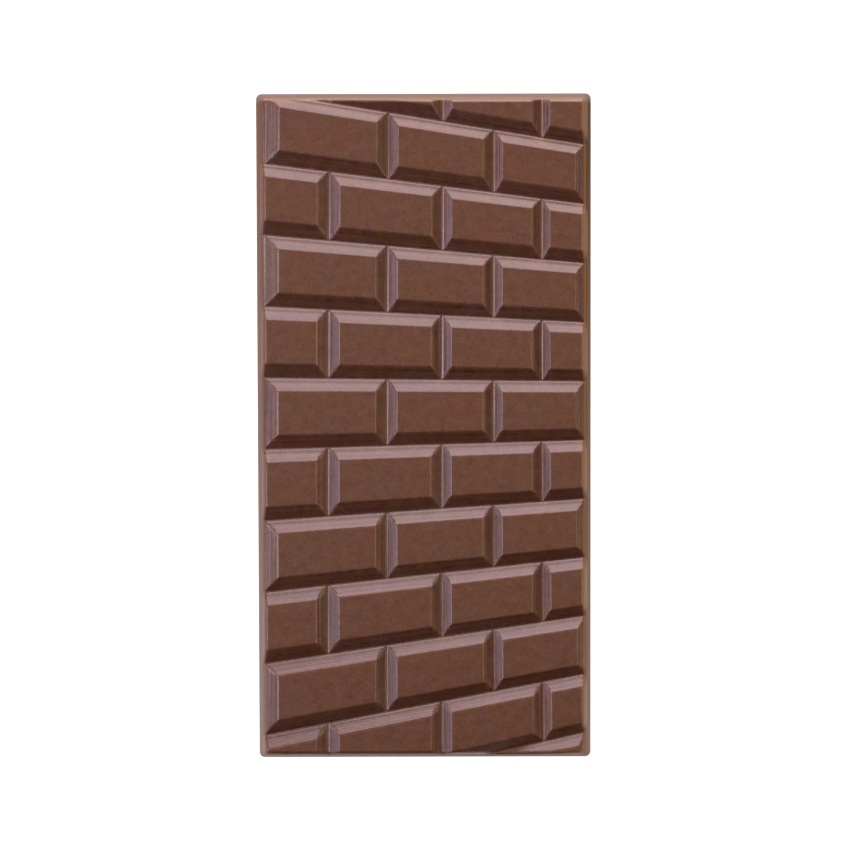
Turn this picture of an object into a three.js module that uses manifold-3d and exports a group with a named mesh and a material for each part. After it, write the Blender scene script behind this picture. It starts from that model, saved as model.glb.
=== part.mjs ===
// A moulded milk chocolate bar with a brick wall relief.
//
// One solid lying flat: a thin slab with drafted side walls, a rounded top edge
// and flat bottom, whose whole upper side is a wall of bricks in running bond,
// drawn in perspective so that the bricks get shorter and the courses close up
// towards +X. Millimetres. +X is across the bar, +Y along it, +Z up. The origin
// is the centre of the flat underside.

import * as THREE from 'three';
import { mergeVertices } from 'three/addons/utils/BufferGeometryUtils.js';
import Module from 'manifold-3d';

// ---- driving dimensions -------------------------------------------------------

const BAR_WIDTH = 78.0;        // across, at the foot of the side walls
const BAR_LENGTH = 155.6;      // along, at the foot of the side walls
const BAR_HEIGHT = 7.2;        // underside to the brick faces
const WALL_DRAFT = 14.1;       // degrees the side walls lean inwards
const CORNER_RADIUS = 1.3;     // vertical corners, at the foot
const CORNER_TIGHTEN = 0.25;   // how much of the inset the corner radius loses
const TOP_EDGE_RADIUS = 1.2;   // between side wall and brick face
const FLOOR_EDGE_RADIUS = 1.1; // between side wall and groove floor
const FOOT_EDGE_RADIUS = 0.3;  // between side wall and underside
const CORNER_STEPS = 5;        // facets in a quarter turn of a vertical corner

const RELIEF_DEPTH = 1.5;      // brick face down to the groove floor
const ARRIS_DROP = 0.03;       // how far the rounded brick arris falls short
const ARRIS_SPAN = 0.08;       // rounding each way, as a share of the bevel

// the wall in perspective: u counts brick lengths from the left, n counts
// courses from the top left corner
const WALL_X = -36.96;         // where u = 0 lies
const BRICK_LENGTH = 30.15;    // length of a brick there
const RECESSION = 0.0699;      // how fast the bricks shorten with u
const COURSE_AT = 37.0;        // courses are set out on the lines x = -37 and +37
const COURSE_LEFT = [77.97, -16.455, -0.0208];  // y on the left line, powers of n
const COURSE_RIGHT = [65.71, -13.716, 0.0];     // y on the right line
const LEAN = [0.0038, -0.00016, -0.0000026];    // of the upright joints, per mm of y, powers of x
const BOW = 0.000033;          // of the upright joints, per square mm of y
const FIRST_COURSE = -1;
const LAST_COURSE = 10;
const WHOLE_COLUMNS = [0, 1, 2];                // courses that start with a whole brick
const HALF_COLUMNS = [-0.5, 0.5, 1.5, 2.5];     // courses that start with a half brick
const WALL_END = 2.985;                         // where the last whole brick stops

// bevel widths round a brick: shares of a brick length (with their change per u)
// and of a course height
const BEVEL_LEFT = [0.0988, -0.0053];
const BEVEL_RIGHT = [0.0859, 0.0065];
const BEVEL_UPPER = 0.176;
const BEVEL_LOWER = 0.2065;
const FLOOR_HALF_U = 0.006;    // half the groove floor, in brick lengths
const FLOOR_HALF_N = 0.012;    // half the groove floor, in courses

// small raised ramps on both long side walls
const RAMP_Y = [31.5, -37.9];  // middle of each ramp
const RAMP_LENGTH = 2.2;
const RAMP_PROUD = 0.15;
const RAMP_TOP = 4.9;
const RAMP_FOOT = 0.5;

// ---- helpers ----------------------------------------------------------------------

const tan = (deg) => Math.tan((deg * Math.PI) / 180);
const sin = (deg) => Math.sin((deg * Math.PI) / 180);
const cos = (deg) => Math.cos((deg * Math.PI) / 180);
const poly = (c, n) => c.reduce((sum, k, i) => sum + k * n ** i, 0);

const wasm = await Module();
wasm.setup();

// a closed geometry as a solid that can be joined and cut
function solid(geometry) {
  const g = geometry.clone();
  g.deleteAttribute('normal');
  g.deleteAttribute('uv');
  const merged = mergeVertices(g, 1e-5);
  return new wasm.Manifold(new wasm.Mesh({
    numProp: 3,
    vertProperties: new Float32Array(merged.attributes.position.array),
    triVerts: new Uint32Array(merged.index.array),
  }));
}

// a joined or cut solid as a geometry again
function geometryOf(manifold) {
  const mesh = manifold.getMesh();
  const g = new THREE.BufferGeometry();
  g.setAttribute('position', new THREE.BufferAttribute(new Float32Array(mesh.vertProperties), 3));
  g.setIndex(new THREE.BufferAttribute(new Uint32Array(mesh.triVerts), 1));
  g.computeVertexNormals();
  return g;
}

// moves every vertex of a geometry by a function of its old place
function reshape(geometry, place) {
  const p = geometry.attributes.position;
  for (let i = 0; i < p.count; i += 1) {
    const [x, y, z] = place(p.getX(i), p.getY(i), p.getZ(i));
    p.setXYZ(i, x, y, z);
  }
  return geometry;
}

// ---- the slab ---------------------------------------------------------------------

// side wall profile as [inset from the foot outline, height]: rounded foot,
// drafted wall, rounded edge at the given height
function wallProfile(height, radius, steps, outset) {
  const rows = [[FOOT_EDGE_RADIUS, 0], [FOOT_EDGE_RADIUS * 0.3, FOOT_EDGE_RADIUS * 0.3],
    [0, FOOT_EDGE_RADIUS]];
  const centreHeight = height - radius;
  const centreInset = ((centreHeight - FOOT_EDGE_RADIUS) * sin(WALL_DRAFT) + radius) / cos(WALL_DRAFT);
  for (let i = 0; i <= steps; i += 1) {
    const turn = (90 - WALL_DRAFT) * (1 - i / steps);
    rows.push([centreInset - radius * sin(turn), centreHeight + radius * cos(turn)]);
  }
  return rows.map(([inset, z]) => [inset - outset, z]);
}

// a rounded rectangle extruded in steps, each step drawn in to the wall profile
function slab(profile) {
  const r = CORNER_RADIUS;
  const hx = BAR_WIDTH / 2;
  const hy = BAR_LENGTH / 2;
  const outline = new THREE.Shape();
  outline.moveTo(-hx + r, -hy);
  outline.lineTo(hx - r, -hy);
  outline.absarc(hx - r, -hy + r, r, -Math.PI / 2, 0, false);
  outline.lineTo(hx, hy - r);
  outline.absarc(hx - r, hy - r, r, 0, Math.PI / 2, false);
  outline.lineTo(-hx + r, hy);
  outline.absarc(-hx + r, hy - r, r, Math.PI / 2, Math.PI, false);
  outline.lineTo(-hx, -hy + r);
  outline.absarc(-hx + r, -hy + r, r, Math.PI, Math.PI * 1.5, false);
  const steps = profile.length - 1;
  const body = new THREE.ExtrudeGeometry(outline, {
    depth: steps, steps, bevelEnabled: false, curveSegments: CORNER_STEPS,
  });
  return reshape(body, (x, y, z) => {
    const [inset, height] = profile[Math.round(z)];
    const sx = Math.sign(x);
    const sy = Math.sign(y);
    const dx = (x - sx * (hx - r)) / r;
    const dy = (y - sy * (hy - r)) / r;
    const radius = r - CORNER_TIGHTEN * Math.max(inset, 0);
    return [
      sx * (hx - inset - radius) + dx * radius,
      sy * (hy - inset - radius) + dy * radius,
      height,
    ];
  });
}

// ---- the bricks -------------------------------------------------------------------

// the point of the bar that lies at u brick lengths and n courses
function wallPoint(u, n) {
  const left = poly(COURSE_LEFT, n);
  const right = poly(COURSE_RIGHT, n);
  const along = (x) => left + ((right - left) * (x + COURSE_AT)) / (2 * COURSE_AT);
  const upright = WALL_X + (BRICK_LENGTH * u) / (1 + RECESSION * u);
  const y = along(upright);
  const x = upright + y * poly(LEAN, upright) + BOW * y * y;
  return [x, along(x)];
}

// one brick: a box whose four levels are drawn in from foot to face, with its
// foot carried on down into the slab
function brick(u, n) {
  const top = BAR_HEIGHT;
  const floor = BAR_HEIGHT - RELIEF_DEPTH;
  const levels = [
    [-0.4, floor - 0.4 * RELIEF_DEPTH],
    [1 - ARRIS_SPAN, top - ARRIS_SPAN * RELIEF_DEPTH],
    [1, top - ARRIS_DROP],
    [1 + ARRIS_SPAN, top],
  ];
  const box = new THREE.BoxGeometry(1, 1, 3, 1, 1, 3);
  return reshape(box, (bx, by, bz) => {
    const [share, z] = levels[Math.round(bz + 1.5)];
    const left = bx < 0;
    const upper = by > 0;
    const end = u + 1 === 3 ? WALL_END : u + 1;
    const footU = left ? u + FLOOR_HALF_U : end - FLOOR_HALF_U;
    const faceU = left ? u + poly(BEVEL_LEFT, u) : end - poly(BEVEL_RIGHT, end);
    const footN = upper ? n + FLOOR_HALF_N : n + 1 - FLOOR_HALF_N;
    const faceN = upper ? n + BEVEL_UPPER : n + 1 - BEVEL_LOWER;
    const foot = wallPoint(footU, footN);
    const face = wallPoint(faceU, faceN);
    return [
      foot[0] + share * (face[0] - foot[0]),
      foot[1] + share * (face[1] - foot[1]),
      z,
    ];
  });
}

// ---- the ramps --------------------------------------------------------------------

// a small wedge on a long side wall that rises out of it towards -Y and stops
// abruptly there; side is -1 or +1
function ramp(side, y) {
  const plan = new THREE.Shape();
  plan.moveTo(-1.0, RAMP_LENGTH / 2);
  plan.lineTo(-1.0, -RAMP_LENGTH / 2);
  plan.lineTo(RAMP_PROUD, -RAMP_LENGTH / 2);
  plan.lineTo(-0.01, RAMP_LENGTH / 2);
  plan.closePath();
  const depth = RAMP_TOP - RAMP_FOOT;
  const wedge = new THREE.ExtrudeGeometry(plan, { depth, steps: 1, bevelEnabled: false });
  reshape(wedge, (px, py, pz) => {
    const z = RAMP_FOOT + pz;
    const wall = BAR_WIDTH / 2 - (z - FOOT_EDGE_RADIUS) * tan(WALL_DRAFT);
    return [side * (wall + px), y + py, z];
  });
  if (side < 0) {
    // the mirrored copy is wound the other way, so its triangles are turned over
    const p = wedge.attributes.position;
    for (let i = 0; i < p.count; i += 3) {
      const keep = [p.getX(i), p.getY(i), p.getZ(i)];
      p.setXYZ(i, p.getX(i + 1), p.getY(i + 1), p.getZ(i + 1));
      p.setXYZ(i + 1, ...keep);
    }
  }
  return wedge;
}

// ---- the bar ----------------------------------------------------------------------

// the groove slab reaches a hair beyond the mould wall, so only the outer
// envelope shapes the side walls
let relief = solid(slab(wallProfile(BAR_HEIGHT - RELIEF_DEPTH, FLOOR_EDGE_RADIUS, 4, 0.02)));
for (let n = FIRST_COURSE; n <= LAST_COURSE; n += 1) {
  const columns = n % 2 === 0 ? WHOLE_COLUMNS : HALF_COLUMNS;
  for (const u of columns) relief = relief.add(solid(brick(u, n)));
}
let bar = relief.intersect(solid(slab(wallProfile(BAR_HEIGHT, TOP_EDGE_RADIUS, 6, 0))));
for (const y of RAMP_Y) {
  for (const side of [-1, 1]) bar = bar.add(solid(ramp(side, y)));
}

const chocolate = new THREE.MeshStandardMaterial({ color: 0x6b4638, roughness: 0.42, metalness: 0 });
const mesh = new THREE.Mesh(geometryOf(bar), chocolate);
mesh.name = 'bar';

const group = new THREE.Group();
group.add(mesh);

export default group;
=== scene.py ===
# A moulded milk chocolate bar with a brick wall relief: its fine surface, its
# finish, the table it lies on, the light and the camera.

import math
from types import SimpleNamespace

import bpy
import numpy as np
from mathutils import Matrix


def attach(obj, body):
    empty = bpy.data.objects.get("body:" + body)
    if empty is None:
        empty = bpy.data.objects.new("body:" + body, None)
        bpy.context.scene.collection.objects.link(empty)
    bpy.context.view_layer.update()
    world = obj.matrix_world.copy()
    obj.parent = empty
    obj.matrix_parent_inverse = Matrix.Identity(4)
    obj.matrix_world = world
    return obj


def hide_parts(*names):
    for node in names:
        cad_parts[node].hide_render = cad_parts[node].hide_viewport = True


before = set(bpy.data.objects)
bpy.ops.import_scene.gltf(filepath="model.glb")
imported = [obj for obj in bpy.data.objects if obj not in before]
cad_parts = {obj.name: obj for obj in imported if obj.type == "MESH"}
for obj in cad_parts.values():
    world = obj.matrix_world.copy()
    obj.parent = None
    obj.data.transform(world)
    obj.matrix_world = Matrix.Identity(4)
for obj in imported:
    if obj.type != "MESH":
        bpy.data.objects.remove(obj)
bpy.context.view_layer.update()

MM = 0.001                      # in metres


# ---- sizes of the bar, in millimetres ----------------------------------------------

# the slab, as the solid has it
WIDTH, LENGTH, HEIGHT = 78.0, 155.6, 7.2
HALF_WIDTH, HALF_LENGTH = WIDTH / 2, LENGTH / 2
DRAFT = math.radians(14.1)      # how far the side walls lean inwards
CORNER_RADIUS = 1.3             # of the vertical corners, at the foot
CORNER_TIGHTEN = 0.25           # how much of the inset the corner radius loses
TOP_EDGE_RADIUS = 1.2           # between side wall and brick face
FLOOR_EDGE_RADIUS = 1.1         # between side wall and groove floor
FOOT_EDGE_RADIUS = 0.3          # between side wall and underside
RELIEF_DEPTH = 1.5              # brick face down to the groove floor
FLOOR = HEIGHT - RELIEF_DEPTH

# the wall in perspective, placed a little finer than the solid has it: u counts
# brick lengths from the left, n counts courses from the top left corner
WALL_X = -37.136                # where u = 0 lies
BRICK_LENGTH = 30.267           # length of a brick there
RECESSION = 0.0699              # how fast the bricks shorten with u
COURSE_AT = 37.0                # courses are set out on the lines x = -37 and +37
COURSE_LEFT = np.array([77.89, -16.418, -0.0208])   # y on the left line, powers of n
COURSE_RIGHT = np.array([65.63, -13.679, 0.0])      # y on the right line
LEAN = (0.0038, -0.00016, -0.0000026)   # of the upright joints, per mm of y, powers of x
BOW = 0.000033                  # of the upright joints, per square mm of y
WALL_START, WALL_END = -0.0066, 2.9795  # ends of a course of whole bricks
WHOLE_BRICKS = 3                # in such a course
FIRST_JOINT, LAST_JOINT = -1, 11    # n of the course joints that the grid follows

# bevel widths and half widths of the groove floor, in brick lengths at a brick's
# left and right and in courses at its top and bottom. A pair is a value and its
# change per u or per n. The first whole brick's left side has its own two values.
BEVEL_LEFT, BEVEL_START = (0.1005, -0.0053), 0.1133
BEVEL_RIGHT = (0.0865, 0.0065)
BEVEL_UPPER = (0.1795, 0.0027)
BEVEL_LOWER = (0.2112, -0.0036)
FLOOR_LEFT, FLOOR_RIGHT, FLOOR_START = (0.0165, -0.0012), 0.003, 0.007
FLOOR_UPPER, FLOOR_LOWER = 0.005, 0.007
ARRIS_SPAN = 0.12               # rounding of the arris each way, as a rise
MITRE_SPAN = 0.05               # rounding of the mitres, as a rise

# small raised ramps on both long side walls
RAMP_Y = (31.5, -37.9)          # middle of each ramp
RAMP_LENGTH = 2.2
RAMP_END, RAMP_DROP = 1.02, 0.03    # where it has dropped back and within what, in lengths
RAMP_PROUD = 0.14               # how far it stands out where it is highest
RAMP_TOP, RAMP_TOP_FADE = 4.9, 0.5      # its upper end, and how far down it fades
RAMP_FOOT, RAMP_FOOT_FADE = 0.5, 0.4    # its lower end, and how far up it fades
RAMP_NEAR, RAMP_OFF = 2.0, 8.0  # only this near a long and this far off a short side

# the underside
HOLLOW = 0.12                   # how far it is let in, at most
HOLLOW_REACH = 8.0              # how far inside its edge the hollow is full
HOLLOW_MEAN, HOLLOW_SWING = 0.6, 0.2    # shares of it: the mean, and the wave's part
HOLLOW_WAVE = 46.0              # longest wavelength of its unevenness
HOLLOW_SEED = 5


# ---- the shape of the bar as functions ---------------------------------------------


def line(pair, at):
    """A value that changes evenly, from its start and its change per step."""
    return pair[0] + pair[1] * at


def curve(powers, at):
    """A quadratic, from its three coefficients."""
    return powers[0] + at * (powers[1] + at * powers[2])


def lean_of_joints(upright, y):
    """How far a joint stands off its own x at height y of the wall: a slope that
    is a quadratic in x, and a bow that grows with y squared."""
    return y * curve(LEAN, upright) + BOW * y * y


def across_wall(x, y):
    """Brick lengths u and courses n at a point: the lean of the joints is taken
    off x in two steps, the perspective x = X0 + A u / (1 + K u) is turned round,
    and n solves y = c0 + c1 n + c2 n^2, whose coefficients are blended from the
    left setting out line to the right one."""
    upright = x - lean_of_joints(x, y)
    upright = x - lean_of_joints(upright, y)
    along = upright - WALL_X
    u = along / (BRICK_LENGTH - RECESSION * along)
    share = (x + COURSE_AT) / (2 * COURSE_AT)
    c0, c1, c2 = ((1 - share) * a + share * b for a, b in zip(COURSE_LEFT, COURSE_RIGHT))
    n = 2 * (c0 - y) / (-c1 + np.sqrt(c1 * c1 - 4 * c2 * (c0 - y)))
    return u, n


def flank(distance, bevel, floor_half):
    """Rise of one bevel, 0 on the groove floor and 1 at the face: the distance from
    the joint line over the bevel width, with a parabola in the groove so that the
    two flanks meet level."""
    span = bevel - floor_half
    rise = (distance - floor_half) / span
    dip = floor_half / span
    bowl = np.clip(rise + dip, 0, None) ** 2 / (4 * dip)
    return np.where(rise < dip, bowl, rise)


def soft_min(a, b, k):
    """The smaller of two values, rounded by a parabola where they are within k."""
    h = np.clip(k - np.abs(a - b), 0, None) / k
    return np.minimum(a, b) - h * h * k / 4


def brick_rises(x, y):
    """For the brick that holds a point, how far up its left, right, upper and lower
    bevels the point is, from 0 at the joint to 1 at the arris and more on the face,
    and whether it is beyond the end of a course. Even courses have whole bricks
    and odd ones start with a half brick, which runs out to the side wall."""
    u, n = across_wall(x, y)
    row = np.floor(n)
    fall = n - row
    half = 0.5 * np.mod(row, 2)
    whole = half == 0
    left = np.floor(u + half) - half
    left = np.where(whole, np.clip(left, 0, WHOLE_BRICKS - 1), left)
    first = whole & (left == 0)
    start = np.where(first, WALL_START, left)
    right = np.where(whole & (left == WHOLE_BRICKS - 1), WALL_END, left + 1)
    outside = whole & ((u < WALL_START) | (u > WALL_END))
    floor_left = np.where(first, FLOOR_START, line(FLOOR_LEFT, left))
    bevel_left = np.where(first, BEVEL_START, line(BEVEL_LEFT, left))
    return (flank(u - start, bevel_left, floor_left),
            flank(right - u, line(BEVEL_RIGHT, right), FLOOR_RIGHT),
            flank(fall, line(BEVEL_UPPER, row), FLOOR_UPPER),
            flank(1 - fall, line(BEVEL_LOWER, row), FLOOR_LOWER), outside)


# a place across or down a brick: 0 to 1 up the first bevel, FACE_PLACE on the face,
# and on to FAR_FOOT at the foot of the opposite bevel
FACE_PLACE = 1.2
FAR_FOOT = 2 * FACE_PLACE


def brick_places(x, y):
    """Where a point is across its brick from the left and down it from the top.
    Beyond the ends of a course it stays at the foot."""
    left, right, upper, lower, outside = brick_rises(x, y)
    across, down = (np.where(a < b, np.clip(a, 0, FACE_PLACE),
                             FAR_FOOT - np.clip(b, 0, FACE_PLACE))
                    for a, b in ((left, right), (upper, lower)))
    return np.where(outside, np.where(x < 0, 0, FAR_FOOT), across), down


def brick_wall(x, y):
    """Height of the relief: the least of the four rises with the mitres eased, then
    with the arris eased by a parabola between 1 - a and 1 + a, times the relief
    depth above the groove floor."""
    left, right, upper, lower, outside = brick_rises(x, y)
    beside = soft_min(left, right, MITRE_SPAN)
    along = soft_min(upper, lower, MITRE_SPAN)
    rise = soft_min(beside, along, MITRE_SPAN)
    rise = np.where(outside, 0.0, np.clip(rise, 0, None))
    eased = 1 - (1 + ARRIS_SPAN - rise) ** 2 / (4 * ARRIS_SPAN)
    rise = np.where(rise > 1 + ARRIS_SPAN, 1.0, np.where(rise > 1 - ARRIS_SPAN, eased, rise))
    return FLOOR + RELIEF_DEPTH * rise


def inset_from_outline(x, y):
    """How far inside the foot outline a point lies: the distance to the nearer
    side, and in a corner the inset whose corner arc passes through the point,
    from a quadratic."""
    ex, ey = HALF_WIDTH - np.abs(x), HALF_LENGTH - np.abs(y)
    near, far = np.minimum(ex, ey), np.maximum(ex, ey)
    radius = CORNER_RADIUS - CORNER_TIGHTEN * near
    keep = 1 - CORNER_TIGHTEN
    ax, ay = CORNER_RADIUS - ex, CORNER_RADIUS - ey
    a = 2 * keep * keep - CORNER_TIGHTEN ** 2
    b = keep * (ax + ay) + CORNER_RADIUS * CORNER_TIGHTEN
    c = ax * ax + ay * ay - CORNER_RADIUS ** 2
    arc = (-b + np.sqrt(np.clip(b * b - a * c, 0, None))) / a
    return np.where(far < near + radius, arc, near)


def edge_round(top):
    """Rounding of the edge between side wall and a surface at that height: radius,
    blended from the floor's to the face's, height and inset of its centre, one
    radius below the surface and inside the wall, and inset where it leaves the wall."""
    share = (top - FLOOR) / RELIEF_DEPTH
    radius = FLOOR_EDGE_RADIUS + (TOP_EDGE_RADIUS - FLOOR_EDGE_RADIUS) * share
    centre = top - radius
    inset = ((centre - FOOT_EDGE_RADIUS) * math.sin(DRAFT) + radius) / math.cos(DRAFT)
    return radius, centre, inset, inset - radius * math.cos(DRAFT)


def skin(x, y):
    """Height of the bar's outside: the relief, then a quarter round down to the
    drafted side wall, then the wall down to the foot."""
    top = brick_wall(x, y)
    inset = inset_from_outline(x, y)
    radius, centre, start, end = edge_round(top)
    rounded = centre + np.sqrt(np.clip(radius ** 2 - (start - inset) ** 2, 0, None))
    wall = FOOT_EDGE_RADIUS + inset / math.tan(DRAFT)
    return np.where(inset > start, top, np.where(inset > end, rounded, wall))


def edge_turn(x, y, z):
    """How far the surface has turned over the rounded edge, from 0 on the moulded
    top to 1 on the side wall and below, in shares of the whole angle."""
    radius, _, start, _ = edge_round(brick_wall(x, y))
    turn = np.arcsin(np.clip((start - inset_from_outline(x, y)) / radius, 0, math.cos(DRAFT)))
    return np.where(z < FLOOR / 2, 1.0, turn / (math.pi / 2 - DRAFT))


def unevenness(x, y, seed, longest, count=14):
    """A gentle random field of about unit size: cosines in random directions, with
    wavelengths from half of longest up to it."""
    rng = np.random.default_rng(seed)
    field = np.zeros_like(x)
    for _ in range(count):
        turn, phase = rng.uniform(0, 2 * math.pi, 2)
        pitch = 2 * math.pi / (longest * rng.uniform(0.5, 1.0))
        field += np.cos(pitch * (x * math.cos(turn) + y * math.sin(turn)) + phase)
    return field / math.sqrt(count / 2)


# ---- laying out the grid -----------------------------------------------------------

# the inner rectangle holds the relief grid, and the edge band is laid out round it
MARGIN = 3.0                    # width of the band
EDGE_X, EDGE_Y = HALF_WIDTH - MARGIN, HALF_LENGTH - MARGIN
FAN = 6.0                       # how far along a side the corner's fan reaches
HOLD = 0.07                     # course lines this near a short side are held on it
LEAN_FADE = 1.8                 # near a long side the grid's lean fades over this

# rises at which a flank is sampled: close together in the groove and at the arris
FACE_STEPS = (0.3, 0.5, 0.75, 0.87, 0.905, 0.94, 0.97, 1.0, 1.03, 1.06, 1.095, 1.13)
GROOVE_STEPS = (0.03, 0.1, 0.17, *FACE_STEPS)
WIDE_GROOVE_STEPS = (-0.12, -0.08, -0.04, 0.0, 0.04, 0.08, 0.12, 0.17, *FACE_STEPS)
FACE_LINES = 2                  # grid lines across the rest of a face
NEXT_FLANK_U, NEXT_FLANK_N = 0.115, 0.245   # how far before a joint its own lines begin
LEAST_X, LEAST_N = 0.055, 0.004             # least gap between grid lines

# lines that are added: this far in from the rectangle's sides, the upright ones with
# a gap to the next, and this far from a ramp's middle
CORNER_LINES = (0.12, 0.26, 0.45, 0.7)
END_GAP = 0.05
RAMP_LINES = (-1.3, -1.14, -1.08, -0.5, 0.1, 0.7, 1.1)

# a path of the band: shares of the relief's part, points on the rounding, shares of
# the wall's part, and points on the foot
BAND_SHARES = (0.7, 0.4, 0.18, 0.06)
EDGE_POINTS = 9
WALL_SHARES = (0.62, 0.3, 0.0)
FOOT_POINTS = 4
BRIM = 1.95                     # inset where the relief gives a path's rounding its height
HALVINGS = 26                   # steps that find a wanted inset on a path

# the underside's coarse grid: how far in it starts, and its cells
BACK_INSET = 1.6
BACK_ACROSS, BACK_ALONG = 26, 52

TINY = 1e-6                     # a point this near a side is on it


def rises(bevel, floor_half, steps):
    """Distances from a joint at which a flank is sampled, given as rises."""
    return floor_half + np.array(steps) * (bevel - floor_half)


def between(start, end):
    """The grid lines across the rest of a face, evenly spaced and without its ends."""
    return np.linspace(start, end, FACE_LINES + 2)[1:-1]


def thin_out(values, least):
    """Sorted values with those closer than least to the one before left out."""
    kept = [values[0]]
    for v in values[1:]:
        if v - kept[-1] >= least:
            kept.append(v)
    return np.array(kept)


def column_places():
    """x of the grid's upright lines: close together on the bevels beside each
    half brick, wider on the faces."""
    u = []
    for k in range(2 * WHOLE_BRICKS + 1):
        joint = k / 2
        at = {0: WALL_START, WHOLE_BRICKS: WALL_END}.get(joint, joint)
        bevel, floor_half = line(BEVEL_LEFT, at), line(FLOOR_LEFT, at)
        if k == 0:
            bevel, floor_half = BEVEL_START, FLOOR_START
        left_side = at - rises(line(BEVEL_RIGHT, at), FLOOR_RIGHT, GROOVE_STEPS)
        right_side = at + rises(bevel, floor_half, WIDE_GROOVE_STEPS)
        u += [*left_side, at, *right_side]
        u += [*between(right_side[-1], joint + 0.5 - NEXT_FLANK_U)]
    u = np.array(sorted(u))
    x = WALL_X + BRICK_LENGTH * u / (1 + RECESSION * u)
    ends = EDGE_X - np.array([0.0, *CORNER_LINES])
    limit = ends[-1] - END_GAP
    return thin_out(np.sort(np.concatenate([x[(x > -limit) & (x < limit)], ends, -ends])), LEAST_X)


def course_places():
    """n of the grid's course lines: close together on the bevels beside each
    course joint, wider on the faces, with extra lines where the ramps and the
    corners are."""
    n = []
    for k in range(FIRST_JOINT, LAST_JOINT + 1):
        above = k - rises(line(BEVEL_LOWER, k - 1), FLOOR_LOWER, GROOVE_STEPS)
        below = k + rises(line(BEVEL_UPPER, k), FLOOR_UPPER, GROOVE_STEPS)
        n += [*above, k, *below, *between(below[-1], k + 1 - NEXT_FLANK_N)]
    at_ramps = [y + d for y in RAMP_Y for d in RAMP_LINES]
    at_corners = [s * (EDGE_Y - d) for s in (-1, 1) for d in CORNER_LINES]
    for half_x, places in ((HALF_WIDTH, at_ramps), (EDGE_X, at_corners)):
        for x in (-half_x, half_x):
            n += [*across_wall(np.full(len(places), x), np.array(places))[1]]
    return thin_out(np.sort(np.array(n)), LEAST_N)


def relief_grid():
    """Points of the inner rectangle: upright lines lean as the joints do, but less
    near the two long sides, course lines follow the courses and are held at the
    two short sides. Returns x, y, the place of each point in the vertex list, and
    which points are in it: held points of one column share one vertex."""
    upright, n = np.meshgrid(column_places(), course_places(), indexing="ij")
    on_left, on_right = curve(COURSE_LEFT, n), curve(COURSE_RIGHT, n)
    free = np.clip((EDGE_X - np.abs(upright)) / LEAN_FADE, 0, 1)
    x = upright
    for _ in range(2):
        y = on_left + (on_right - on_left) * (x + COURSE_AT) / (2 * COURSE_AT)
        y = np.where(y > EDGE_Y - HOLD, EDGE_Y, np.where(y < -EDGE_Y + HOLD, -EDGE_Y, y))
        x = upright + free * lean_of_joints(upright, y)
    shown = np.ones(y.shape, bool)
    shown[:, 1:] = y[:, 1:] != y[:, :-1]
    place = np.cumsum(shown.ravel()).reshape(y.shape) - 1
    return x, y, place, shown


def rim_of(place):
    """The grid's outer vertices, anticlockwise from the lower left corner."""
    lower, upper = place[:, -1], place[:, 0]
    right = np.unique(place[-1])[::-1]
    left = np.unique(place[0])
    return np.concatenate([lower, right[1:-1], upper[::-1], left[1:-1]])


def foot_outline(x, y):
    """The outline point that belongs to each point of the inner rectangle's edge:
    straight out from the sides, and within the fan's reach of a corner further
    round, b = a + extra (1 - (1 - a / fan)^2) from the middle of the corner arc."""
    on_side = np.abs(np.abs(x) - EDGE_X) < TINY
    away = np.where(on_side, EDGE_Y - np.abs(y), EDGE_X - np.abs(x))
    arc = math.pi / 4 * CORNER_RADIUS
    extra = MARGIN - CORNER_RADIUS + arc
    round_to = away + extra * (1 - np.clip(1 - away / FAN, 0, 1) ** 2)
    turn = math.pi / 4 - np.clip(round_to, 0, arc) / CORNER_RADIUS
    run = np.clip(round_to - arc, 0, None)
    near = CORNER_RADIUS * (1 - np.cos(turn))
    off = CORNER_RADIUS * (1 - np.sin(turn)) + run
    ox = np.where(on_side, HALF_WIDTH - near, HALF_WIDTH - off)
    oy = np.where(on_side, HALF_LENGTH - off, HALF_LENGTH - near)
    return np.copysign(ox, x), np.copysign(oy, y)


def edge_band(x, y):
    """Points of the band from the inner rectangle to the foot, one path for each
    rim point: the wanted insets (even on the relief, by angle on the rounding,
    even down the wall) are found on the straight path by halving."""
    out_x, out_y = foot_outline(x, y)
    step_x, step_y = out_x - x, out_y - y
    reach = 1 - BRIM / MARGIN
    radius, _, start, end = edge_round(brick_wall(x + step_x * reach, y + step_y * reach))
    turns = np.sin(np.linspace(0, math.pi / 2 - DRAFT, EDGE_POINTS))
    band = [start + (MARGIN - start) * s for s in BAND_SHARES]
    band += [start - radius * t for t in turns]
    band += [end * s for s in WALL_SHARES]
    wanted = np.array(band).T
    low, high = np.zeros_like(wanted), np.ones_like(wanted)
    for _ in range(HALVINGS):
        middle = (low + high) / 2
        px = x[:, None] + step_x[:, None] * middle
        py = y[:, None] + step_y[:, None] * middle
        inside = inset_from_outline(px, py) > wanted
        low, high = np.where(inside, middle, low), np.where(inside, high, middle)
    px = x[:, None] + step_x[:, None] * high
    py = y[:, None] + step_y[:, None] * high
    return px, py, skin(px, py)


def foot_band(band_x, band_y):
    """Points of the rounded foot that carries on each path of the edge band: a
    quarter turn t goes inwards by r (1 - cos t) and lies at height r (1 - sin t)."""
    turn = np.linspace(0, math.pi / 2, FOOT_POINTS)[1:]
    out_x, out_y = band_x[:, -1], band_y[:, -1]
    inward_x, inward_y = band_x[:, -2] - out_x, band_y[:, -2] - out_y
    size = np.hypot(inward_x, inward_y)
    tuck = FOOT_EDGE_RADIUS * (1 - np.cos(turn))
    x = out_x[:, None] + (inward_x / size)[:, None] * tuck
    y = out_y[:, None] + (inward_y / size)[:, None] * tuck
    return x, y, np.broadcast_to(FOOT_EDGE_RADIUS * (1 - np.sin(turn)), x.shape)


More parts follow.
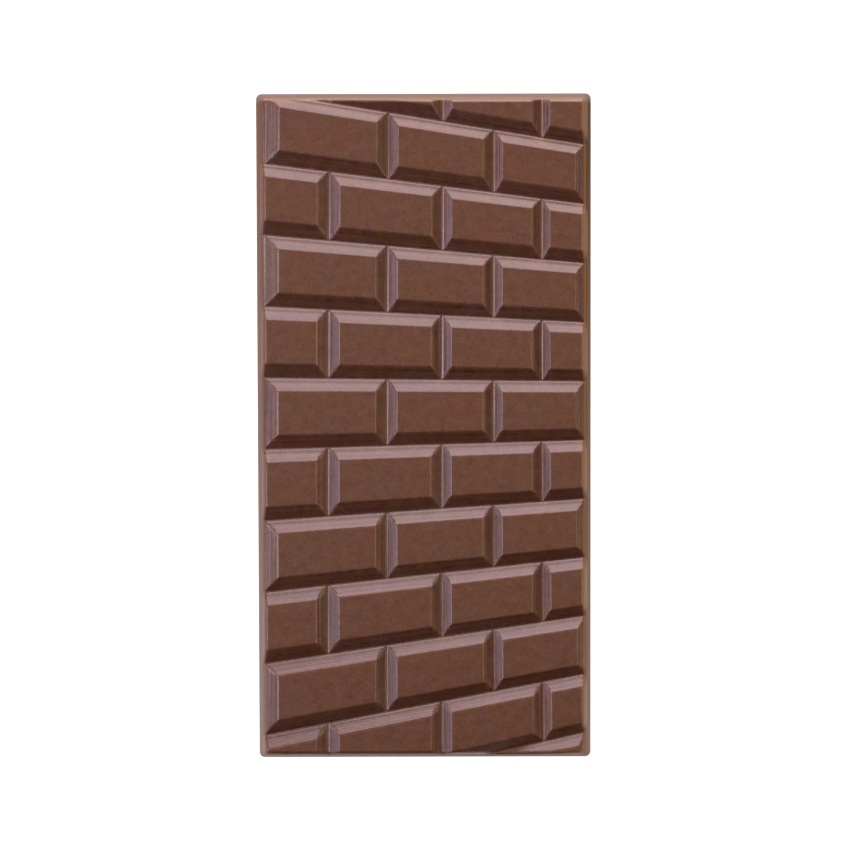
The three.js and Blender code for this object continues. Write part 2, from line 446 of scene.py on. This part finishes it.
def with_ramps(x, y, z):
    """x with the small ramps on the long side walls: each grows outwards towards
    -Y over its length and stops short, and fades out at its upper and lower end."""
    proud = np.zeros_like(x)
    for middle in RAMP_Y:
        along = (middle + RAMP_LENGTH / 2 - y) / RAMP_LENGTH
        grown = np.clip(along, 0, 1) * np.clip((RAMP_END - along) / RAMP_DROP, 0, 1)
        below = np.clip((RAMP_TOP - z) / RAMP_TOP_FADE, 0, 1)
        above = np.clip((z - RAMP_FOOT) / RAMP_FOOT_FADE, 0, 1)
        proud = np.maximum(proud, RAMP_PROUD * grown * below * above)
    on_wall = (np.abs(x) > HALF_WIDTH - RAMP_NEAR) & (np.abs(y) < HALF_LENGTH - RAMP_OFF)
    return x + np.sign(x) * np.where(on_wall, proud, 0)


def underside(rim_x, rim_y, first, start):
    """The flat back: a coarse grid that is a little hollow, zipped to the fine foot
    ring. Each foot point goes to the nearest point on the coarse grid's own edge,
    counted side by side in shares of the side. Returns points and faces."""
    half_x, half_y = HALF_WIDTH - BACK_INSET, HALF_LENGTH - BACK_INSET
    gx, gy = np.meshgrid(np.linspace(-half_x, half_x, BACK_ACROSS + 1),
                         np.linspace(-half_y, half_y, BACK_ALONG + 1), indexing="ij")
    fade = np.clip(np.minimum(half_x - np.abs(gx), half_y - np.abs(gy)) / HOLLOW_REACH, 0, 1)
    wave = np.clip(unevenness(gx, gy, HOLLOW_SEED, HOLLOW_WAVE), -2, 2)
    gz = HOLLOW * fade * (HOLLOW_MEAN + HOLLOW_SWING * wave)
    ids = start + np.arange(gx.size).reshape(gx.shape)
    inner = quads_of(ids)
    loop = np.concatenate([ids[:-1, 0], ids[-1, :-1], ids[:0:-1, -1], ids[0, :0:-1]])
    share_x, share_y = (rim_x / EDGE_X + 1) / 2, (rim_y / EDGE_Y + 1) / 2
    lower, upper = rim_y < -EDGE_Y + TINY, rim_y > EDGE_Y - TINY
    right = rim_x > EDGE_X - TINY
    left = ~lower & ~right & ~upper
    spot = np.where(lower & ~(right & upper), share_x * BACK_ACROSS, 0.0)
    spot = np.where(right & ~lower, BACK_ACROSS + share_y * BACK_ALONG, spot)
    spot = np.where(upper & ~right, BACK_ACROSS + BACK_ALONG + (1 - share_x) * BACK_ACROSS, spot)
    spot = np.where(left, 2 * BACK_ACROSS + BACK_ALONG + (1 - share_y) * BACK_ALONG, spot)
    nearest = np.round(spot).astype(int) % len(loop)
    here, there = loop[nearest], loop[np.roll(nearest, -1)]
    fine = first + np.arange(len(rim_x))
    ahead = np.roll(fine, -1)
    same = here == there
    triangles = np.stack([fine, here, ahead], -1)[same]
    quads = np.stack([fine, here, there, ahead], -1)[~same]
    return np.stack([gx.ravel(), gy.ravel(), gz.ravel()], -1), [inner, triangles, quads]


def quads_of(ids):
    """The four corners of every cell of a grid of vertex numbers."""
    corners = [ids[:-1, :-1], ids[:-1, 1:], ids[1:, 1:], ids[1:, :-1]]
    return np.stack(corners, -1).reshape(-1, 4)


def bar_surface():
    """The whole outside of the bar as points in millimetres and faces: the relief
    grid, the edge band, the rounded foot and the underside."""
    x, y, place, shown = relief_grid()
    cells = quads_of(place)
    flat_left, flat_right = cells[:, 0] == cells[:, 1], cells[:, 2] == cells[:, 3]
    faces = [cells[~flat_left & ~flat_right], cells[flat_left & ~flat_right][:, 1:],
             cells[~flat_left & flat_right][:, :3]]
    grid_x, grid_y = x[shown], y[shown]
    rim = rim_of(place)
    band = edge_band(grid_x[rim], grid_y[rim])
    band_x, band_y, band_z = (np.concatenate(pair, 1) for pair in zip(band, foot_band(*band[:2])))
    band_x = with_ramps(band_x, band_y, band_z)
    paths = len(grid_x) + np.arange(band_x.size).reshape(band_x.shape)
    paths = np.concatenate([rim[:, None], paths], 1)
    after = np.roll(paths, -1, 0)
    sides = [paths[:, :-1], paths[:, 1:], after[:, 1:], after[:, :-1]]
    faces.append(np.stack(sides, -1).reshape(-1, 4))
    points = np.concatenate([np.stack([grid_x, grid_y, skin(grid_x, grid_y)], -1),
                             np.stack([band_x.ravel(), band_y.ravel(), band_z.ravel()], -1)])
    # the foot ring is every path's last point, so it is made a run of its own
    foot = paths[:, -1]
    rest = np.setdiff1d(np.arange(len(points)), foot)
    moved = np.empty(len(points), int)
    moved[rest] = np.arange(len(rest))
    moved[foot] = len(rest) + np.arange(len(foot))
    points = np.concatenate([points[rest], points[foot]])
    faces = [moved[f] for f in faces]
    back, back_faces = underside(grid_x[rim], grid_y[rim], len(rest), len(points))
    return np.concatenate([points, back]), faces + back_faces


def mesh_object(name, points, faces):
    """A smooth shaded mesh object from points in millimetres and arrays of faces."""
    mesh = bpy.data.meshes.new(name)
    loops = np.concatenate([f.ravel() for f in faces]).astype(np.int32)
    sizes = np.concatenate([np.full(len(f), f.shape[1]) for f in faces]).astype(np.int32)
    starts = np.concatenate([[0], np.cumsum(sizes)[:-1]]).astype(np.int32)
    mesh.vertices.add(len(points))
    mesh.vertices.foreach_set("co", (points * MM).astype(np.float32).ravel())
    mesh.loops.add(len(loops))
    mesh.loops.foreach_set("vertex_index", loops)
    mesh.polygons.add(len(sizes))
    mesh.polygons.foreach_set("loop_start", starts)
    mesh.polygons.foreach_set("loop_total", sizes)
    mesh.update(calc_edges=True)
    mesh.validate()
    mesh.shade_smooth()
    made = bpy.data.objects.new(name, mesh)
    bpy.context.scene.collection.objects.link(made)
    return made


# ---- materials ---------------------------------------------------------------------


class Wire:
    """A value in a node tree: arithmetic on it adds Math nodes."""

    def __init__(self, paint, socket):
        self.paint, self.socket = paint, socket

    def _math(self, operation, *values):
        return self.paint.node("ShaderNodeMath", {"operation": operation}, dict(enumerate(values)))

    def __add__(self, other):
        return self._math("ADD", self, other)

    def __sub__(self, other):
        return self._math("SUBTRACT", self, other)

    def __mul__(self, other):
        return self._math("MULTIPLY", self, other)

    def __radd__(self, other):
        return self._math("ADD", other, self)

    def __rsub__(self, other):
        return self._math("SUBTRACT", other, self)

    def __rmul__(self, other):
        return self._math("MULTIPLY", other, self)


class Paint:
    """A material's node tree, with one method that makes any node."""

    def __init__(self, name):
        self.material = bpy.data.materials.new(name)
        self.material.use_nodes = True
        self.tree = self.material.node_tree
        self.tree.nodes.clear()

    def node(self, kind, settings=None, inputs=None, output=0):
        """A node with its settings and its inputs, of which wires are linked and
        other values are set, as a wire from one of its outputs."""
        made = self.tree.nodes.new(kind)
        for key, value in (settings or {}).items():
            setattr(made, key, value)
        for key, value in (inputs or {}).items():
            socket = made.inputs[key]
            if isinstance(value, Wire):
                self.tree.links.new(value.socket, socket)
            else:
                socket.default_value = value
        return Wire(self, made.outputs[output]) if made.outputs else None

    def mix(self, factor, a, b):
        """A colour between two colours, by a value."""
        return self.node("ShaderNodeMix", {"data_type": "RGBA"}, {0: factor, 6: a, 7: b}, 2)

    def shade(self, colour, shares):
        """A colour made darker or lighter by shares of red, green and blue."""
        settings = {"data_type": "RGBA", "blend_type": "MULTIPLY", "clamp_result": False}
        return self.node("ShaderNodeMix", settings, {0: 1.0, 6: colour, 7: (*shares, 1.0)}, 2)

    def shaded_by(self, factor, colour, shares):
        """A colour that is shaded by shares where a value is 1."""
        return self.mix(factor, colour, self.shade(colour, shares))

    def fade(self, value, start, end):
        """0 to 1 as a value goes from start to end, eased at both."""
        return self.node("ShaderNodeMapRange", {"interpolation_type": "SMOOTHSTEP"},
                         {0: value, 1: start, 2: end, 3: 0.0, 4: 1.0})

    def noise(self, where, scale, detail, roughness, squash=(1, 1, 1)):
        """Smooth noise from 0 to 1, scale in cells per metre, squashed by axis."""
        turned = self.node("ShaderNodeMapping", {}, {"Vector": where, "Scale": squash})
        return self.node("ShaderNodeTexNoise", {}, {
            "Vector": turned, "Scale": scale, "Detail": detail, "Roughness": roughness})

    def least(self, a, b):
        """The smaller of two values."""
        return self.node("ShaderNodeMath", {"operation": "MINIMUM"}, {0: a, 1: b})

    def less(self, a, b):
        """1 where the first value is below the second, and 0 elsewhere."""
        return self.node("ShaderNodeMath", {"operation": "LESS_THAN"}, {0: a, 1: b})

    def principled(self, inputs):
        """A Principled shader with these inputs."""
        return self.node("ShaderNodeBsdfPrincipled", {}, inputs)

    def finished(self, shader):
        """The material, with that shader as its surface."""
        self.node("ShaderNodeOutputMaterial", {}, {"Surface": shader})
        return self.material


def srgb(text):
    """Linear colour from a hex colour."""
    parts = [int(text[i:i + 2], 16) / 255 for i in (0, 2, 4)]
    linear = (p / 12.92 if p <= 0.04045 else ((p + 0.055) / 1.055) ** 2.4 for p in parts)
    return (*linear, 1.0)


# noises of the brown: cells per metre, detail, roughness and squash
RED_PATCHES, BLUE_PATCHES = (130, 4.0, 0.75), (170, 4.0, 0.75, (1.3, 1, 1))
MOTTLE, GRAIN = (420, 5.0, 0.8), (2600, 2.0, 0.8)

# streaks of the bevels: cells across a bevel, cells per metre along it, how far the
# two kinds of bevel lie apart in the noise, and its scale, detail and roughness
STREAKS_ACROSS, STREAKS_ALONG, STREAKS_APART = 6.0, 14, 9.0
STREAKS = (1.0, 2.0, 0.7)

# soft patches and mottle of the brown: two colours, and shares of red, green and blue
REDDER, GREYER = srgb("703925"), srgb("60493c")
YELLOWER, BLUER = (1, 1.04, 0.4), (1, 0.96, 1.6)
DARKEST, LIGHTEST = (0.38, 0.0, 0.0), (1.56, 1.94, 1.94)
# painted shade: shares that darken the lower bevels, and the right bevels towards their foot
LOWER_BEVEL_PAINTED_SHADE, RIGHT_BEVEL_PAINTED_SHADE = (0.86, 0.92, 0.95), (0.84, 0.84, 0.84)
# painted reflection: shares that make the foot of the left bevels paler and bluer
LEFT_FOOT_PAINTED_REFLECTION = (1.3, 1.5, 1.85)

# linear colours of the rim's painted highlight, a lighter tan, and of the side walls
RIM_PAINTED_HIGHLIGHT = (0.28, 0.145, 0.065, 1.0)
# painted shade: the right wall's darker brown, towards +Y
WALL_BROWN, RIGHT_WALL_PAINTED_SHADE = (0.14, 0.06, 0.025, 1.0), (0.08, 0.034, 0.012, 1.0)
TOP_WALL_BROWN = (0.09, 0.036, 0.013, 1.0)
# painted reflection of the white table: the pale brown of the walls at the bottom end and high on
# the left
PALE_WALL_PAINTED_REFLECTION = (0.20, 0.10, 0.06, 1.0)

# where the walls' looks, their painted shade and reflection, and the rim's painted highlight set
# in, in metres from the middle and above the table
NEAR_SIDE = (0.030, 0.036)
NEAR_TOP, NEAR_BOTTOM = (0.0750, 0.0765), (-0.0762, -0.0772)
RIGHT_WALL_SHADE_SPAN = (0.03, 0.075)
RIGHT_HIGHLIGHT_FROM, TOP_HIGHLIGHT_FROM = (0.0034, 0.0050), (0.0042, 0.0060)
LEFT_REFLECTION_FROM = (0.0045, 0.0058)


def surface_places(paint):
    """Where a point of the bar is: its coordinates, its place on the nearer bevel,
    and values from 0 to 1 for being on each kind of surface."""
    at = SimpleNamespace()
    at.spot = paint.node("ShaderNodeTexCoord", {}, {}, 3)
    at.x, at.y, at.z = (paint.node("ShaderNodeSeparateXYZ", {}, {0: at.spot}, k) for k in range(3))
    across, down, at.edge = (paint.node("ShaderNodeAttribute", {"attribute_name": name}, {}, 2)
                             for name in ("across", "down", "edge"))
    rise_across, rise_down = (paint.least(p, FAR_FOOT - p) for p in (across, down))
    at.rise = paint.least(rise_across, rise_down)
    at.beside = paint.less(rise_across, rise_down)      # nearer a left or right joint
    at.along = 1 - at.beside                            # nearer an upper or lower one
    at.place = down + (across - down) * at.beside
    at.relief = paint.fade(at.edge, 0.7, 0.3)           # not yet on the side wall
    at.left = paint.fade(at.x, -NEAR_SIDE[0], -NEAR_SIDE[1])
    at.right = paint.fade(at.x, *NEAR_SIDE)
    at.top = paint.fade(at.y, *NEAR_TOP)
    at.bottom = paint.fade(at.y, *NEAR_BOTTOM)
    at.long_side = 1 - at.top
    at.wall = paint.fade(at.edge + at.left * at.long_side * 0.3, 0.5, 0.85)
    at.full = paint.fade(at.rise, 0.1, 1.1)             # as high as a brick face
    return at


def bevel_streaks(paint, at):
    """Streaks that run along the joints, about -0.5 to 0.5 on the bevels and 0 on
    the faces: noise that is fine over the place and coarse along the bar."""
    bevel = paint.fade(at.rise, 1.04, 0.84) * at.relief
    beam = paint.node("ShaderNodeCombineXYZ", {}, {
        0: at.place * STREAKS_ACROSS + at.beside * STREAKS_APART,
        1: at.x * STREAKS_ALONG, 2: at.y * STREAKS_ALONG})
    streaks = paint.noise(beam, *STREAKS) - 0.5
    return streaks * bevel * (0.62 + at.beside * 0.38)


def moulded_brown(paint, at, light):
    """Brown of the relief: patches, then light and dark by a value, then painted shade
    that makes the lower bevels darker and the right ones darker towards their foot,
    and a painted reflection that makes the foot of the left ones paler and bluer to +X."""
    red, blue = paint.noise(at.spot, *RED_PATCHES), paint.noise(at.spot, *BLUE_PATCHES)
    brown = paint.mix(red, REDDER, GREYER)
    brown = paint.mix(blue, paint.shade(brown, YELLOWER), paint.shade(brown, BLUER))
    brown = paint.mix(light, paint.shade(brown, DARKEST), paint.shade(brown, LIGHTEST))
    # painted shade: the lower bevels darker
    lower = paint.fade(at.place, 1.3, 1.5) * at.along * at.relief
    # painted shade: the right bevels darker towards their foot
    right = paint.fade(at.place, 1.5, 2.2) * at.beside * at.relief
    # painted reflection: the foot of the left bevels paler and bluer, more towards +X
    painted_left_foot_reflection = paint.fade(at.place, 0.9, 0.2) * at.beside * at.relief
    brown = paint.shaded_by(lower, brown, LOWER_BEVEL_PAINTED_SHADE)
    brown = paint.shaded_by(right, brown, RIGHT_BEVEL_PAINTED_SHADE)
    return paint.shaded_by(painted_left_foot_reflection * paint.fade(at.x, -0.01, 0.03), brown, LEFT_FOOT_PAINTED_REFLECTION)


def walled_brown(paint, at, brown):
    """That brown with a painted highlight, a lighter tan, on the rim at the right and
    the top, and with the side walls: a deeper brown that leaves the tan under full
    bricks, with painted shade that makes it darker to the top right, a painted
    reflection that makes it paler at the bottom and high on the left, and darker on
    the +Y end wall."""
    # painted highlight: the rim at the right and the top a lighter tan
    rim = paint.fade(at.edge, 0.05, 0.3) * (1 - (1 - at.right) * at.long_side)
    brown = paint.mix(rim * 0.8, brown, RIM_PAINTED_HIGHLIGHT)
    # where the rim's painted highlight is kept on the wall
    tan = (at.right * at.long_side * at.full * paint.fade(at.z, *RIGHT_HIGHLIGHT_FROM)
           + at.top * paint.fade(at.z, *TOP_HIGHLIGHT_FROM) * 0.8)
    bare = 1 - tan
    # painted shade: the right wall darker towards +Y
    side = paint.mix(at.right * paint.fade(at.y, *RIGHT_WALL_SHADE_SPAN), WALL_BROWN, RIGHT_WALL_PAINTED_SHADE)
    # painted reflection: the wall at the bottom end paler
    side = paint.mix(at.bottom, side, PALE_WALL_PAINTED_REFLECTION)
    brown = paint.mix(at.wall * bare, brown, side)
    # painted reflection: the left wall paler high up
    left_painted_reflection = at.wall * at.left * at.long_side * paint.fade(at.z, *LEFT_REFLECTION_FROM)
    brown = paint.mix(left_painted_reflection, brown, PALE_WALL_PAINTED_REFLECTION)
    return paint.mix(at.wall * at.top * bare, brown, TOP_WALL_BROWN)


def dullness(paint, at):
    """How much of the satin is lost: on the side walls, most towards +X and +Y but
    not at the +Y end, on the rims beside them, and at the foot of upper bevels."""
    walls = at.wall * (0.56 + at.x * 4.2 + at.y * 6.2 + at.bottom * 0.35) * at.long_side
    rims = ((1 - at.wall) * at.long_side * paint.fade(at.edge, 0.02, 0.2)
            * (at.right * (1 - at.full) * 0.95 + at.left * 0.35))
    foot = paint.fade(at.place, 0.08, 0.2) * paint.fade(at.place, 0.45, 0.22)
    foot = foot * at.along * at.relief
    return walls + rims + foot * (0.42 + paint.fade(at.y, 0.02, 0.07) * 0.15)


def milk_chocolate():
    """Satin milk chocolate with soft patches, a mottle down to a fine grain, streaks
    along the bevels, painted shade, highlight and reflection on bevels, rim and walls,
    and duller side walls of a deeper brown."""
    paint = Paint("milk_chocolate")
    at = surface_places(paint)
    mottle, grain = paint.noise(at.spot, *MOTTLE), paint.noise(at.spot, *GRAIN)
    streaks = bevel_streaks(paint, at)
    light = mottle * 0.9 + grain * 0.95 + streaks * 1.3 - 0.42
    brown = walled_brown(paint, at, moulded_brown(paint, at, light))
    bump = paint.node("ShaderNodeBump", {}, {
        "Strength": 1.0, "Distance": 0.0001,
        "Height": mottle * 0.4 + grain * 0.12 + streaks * 0.85})
    upper_foot = paint.fade(at.place, 0.4, 0.2) * at.along * at.relief
    satin = paint.principled({
        "Base Color": brown, "Roughness": 0.27 + mottle * 0.06 + at.wall * 0.35 - upper_foot * 0.07,
        "Normal": bump, "IOR": 1.6, "Specular IOR Level": 0.75})
    dull = paint.principled({
        "Base Color": brown, "Roughness": 0.6, "IOR": 1.46, "Specular IOR Level": 0.03})
    return paint.finished(paint.node("ShaderNodeMixShader", {}, {
        0: dullness(paint, at), 1: satin, 2: dull}))


def table_white():
    """A plain white table top that is lit from within as well."""
    paint = Paint("table_white")
    return paint.finished(paint.principled({
        "Base Color": (0.5, 0.5, 0.5, 1), "Roughness": 0.9,
        "Emission Color": (1, 1, 1, 1), "Emission Strength": 1.0}))


# ---- the bar -----------------------------------------------------------------------

bar_points, bar_faces = bar_surface()
bar = mesh_object("chocolate_bar", bar_points, bar_faces)
flat_x, flat_y, flat_z = bar_points.T
place_across, place_down = brick_places(flat_x, flat_y)
for name, values in (("across", place_across), ("down", place_down),
                     ("edge", edge_turn(flat_x, flat_y, flat_z))):
    attribute = bar.data.attributes.new(name, "FLOAT", "POINT")
    attribute.data.foreach_set("value", values.astype(np.float32))
bar.data.materials.append(milk_chocolate())
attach(bar, "root")
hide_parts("bar")


# ---- table and light ---------------------------------------------------------------

TABLE_HALF = 900.0              # half its side, in millimetres
TABLE_GAP = 0.05                # how far it lies below the bar

table_corners = [(-1, -1), (1, -1), (1, 1), (-1, 1)]
table_points = np.array([(TABLE_HALF * x, TABLE_HALF * y, -TABLE_GAP) for x, y in table_corners])
table = mesh_object("table", table_points, [np.array([[0, 1, 2, 3]])])
table.data.materials.append(table_white())


def softbox(name, bearing, zenith, distance, width, height, radiance, colour):
    """A rectangular area light that faces the bar: bearing in degrees clockwise from
    +Y, zenith angle in degrees, and radiance as the brightness of its face."""
    light = bpy.data.lights.new(name, "AREA")
    light.shape, light.size, light.size_y = "RECTANGLE", width, height
    light.energy, light.color = radiance * math.pi * width * height, colour
    made = bpy.data.objects.new(name, light)
    bearing, zenith = math.radians(bearing), math.radians(zenith)
    made.location = (distance * math.sin(zenith) * math.sin(bearing),
                     distance * math.sin(zenith) * math.cos(bearing), distance * math.cos(zenith))
    made.rotation_euler = (zenith, 0, math.pi - bearing)
    bpy.context.scene.collection.objects.link(made)


softbox("back_light", 0, 55, 0.9, 1.1, 0.66, 3.12, (1.00, 0.87, 0.95))
softbox("back_low_light", 0, 80, 0.9, 1.1, 0.26, 3.80, (1.00, 0.70, 0.44))
softbox("left_light", -90, 75, 0.9, 1, 0.46, 1.95, (0.73, 0.74, 1.00))
softbox("right_light", 90, 50, 0.9, 0.7, 0.5, 0.30, (1.00, 0.96, 0.71))
softbox("right_low_light", 112, 84, 0.6, 0.5, 0.1, 1.60, (1.00, 0.85, 0.45))
softbox("left_strip_light", -93, 34, 0.9, 0.45, 0.19, 7.82, (1.00, 0.87, 0.93))
softbox("right_strip_light", 93, 32, 0.9, 0.45, 0.19, 3.50, (1.00, 0.75, 0.45))
softbox("sky_light", 0, 0, 1.2, 0.7, 0.7, 0.41, (1.00, 0.75, 0.48))

world = bpy.data.worlds.new("studio")
bpy.context.scene.world = world
world.use_nodes = True
world.node_tree.nodes["Background"].inputs[0].default_value = (1, 1, 1, 1)
world.node_tree.nodes["Background"].inputs[1].default_value = 0.0


# ---- camera ------------------------------------------------------------------------

FOCAL_PIXELS, VIEW_PIXELS = 2776.67, 850    # focal length and width of the view
SENSOR_WIDTH = 36.0
CAMERA_AT = (0.00027, 0.03448, 0.650)
CAMERA_TILT, CAMERA_ROLL = math.radians(-2.992), math.radians(-0.146)

lens = bpy.data.cameras.new("camera")
lens.sensor_width = SENSOR_WIDTH
lens.lens = SENSOR_WIDTH * FOCAL_PIXELS / VIEW_PIXELS
lens.clip_start, lens.clip_end = 0.02, 20
camera = bpy.data.objects.new("camera", lens)
camera.location = CAMERA_AT
camera.rotation_euler = (CAMERA_TILT, 0, CAMERA_ROLL)
bpy.context.scene.collection.objects.link(camera)
bpy.context.scene.camera = camera

bpy.context.scene.view_settings.view_transform = "Standard"
bpy.context.scene.view_settings.look = "None"
